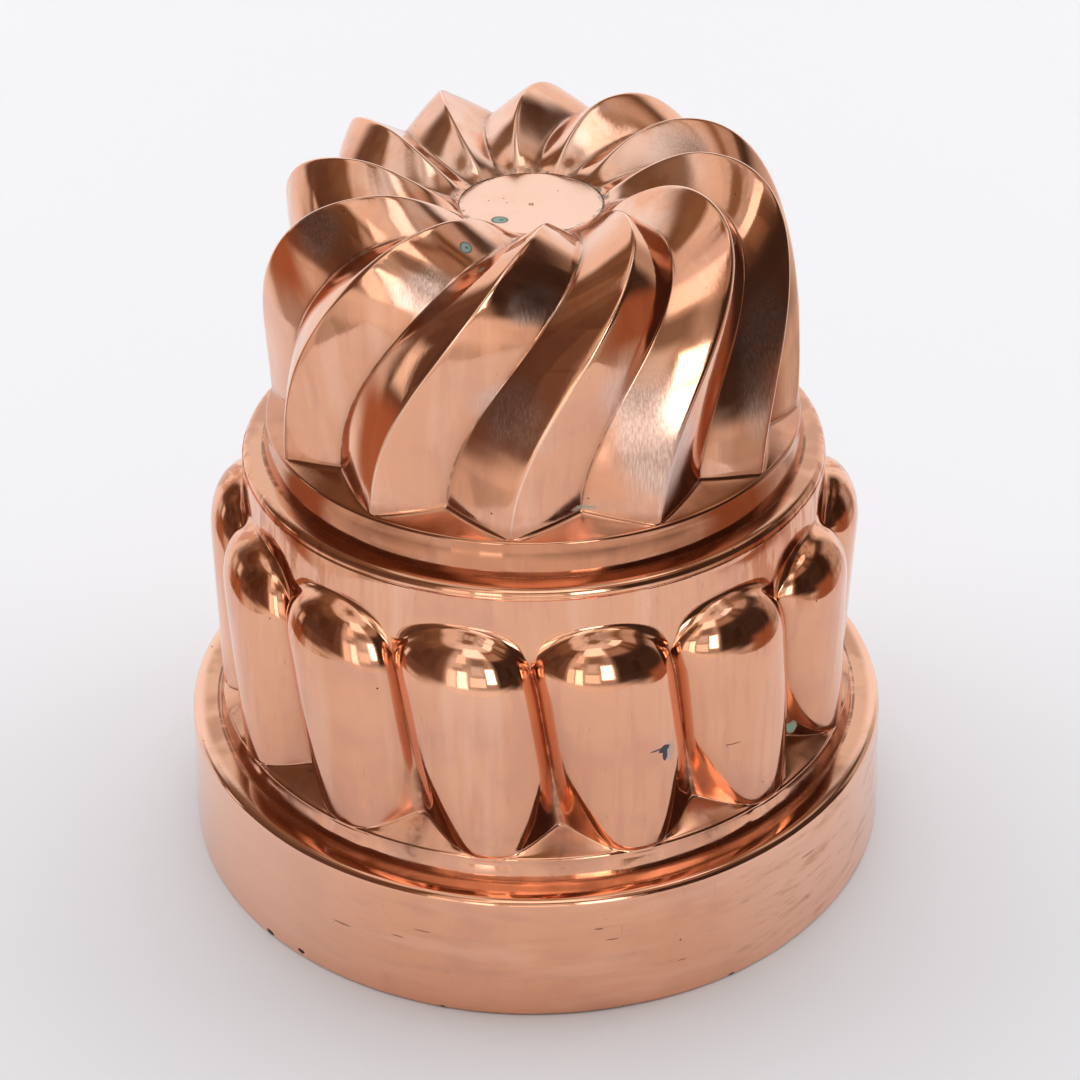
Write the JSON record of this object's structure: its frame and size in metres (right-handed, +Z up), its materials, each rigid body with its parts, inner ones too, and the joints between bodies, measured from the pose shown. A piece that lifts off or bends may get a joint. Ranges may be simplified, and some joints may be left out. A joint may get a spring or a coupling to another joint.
{
  "type": "tiered copper cake and jelly mould",
  "caption": "Tiered copper cake and jelly mould, open below: a plain skirt, a wall of domed flutes and a swirled dome of sharp ridges round a flat crown plate.",
  "frame": {"origin": "on the mould's axis, in the plane of the bottom cut edge", "axes": "+Z up along the mould's axis, towards the crown; -Y towards the side shown in front"},
  "size_m": [0.16, 0.16, 0.1583],
  "materials": {
    "copper": "polished copper sheet, worn satin in places; tinned on the inner faces",
    "solder": "dull grey soft solder",
    "brazing": "filed brass spelter"
  },
  "bodies": {
    "root": {"skirt_band": "copper", "skirt_seam": "brazing", "skirt_solder": "solder", "fluted_wall": "copper", "neck_solder": "solder", "swirl_dome": "copper", "crown_plate": "copper", "crown_solder": "solder"}
  },
  "joints": []
}
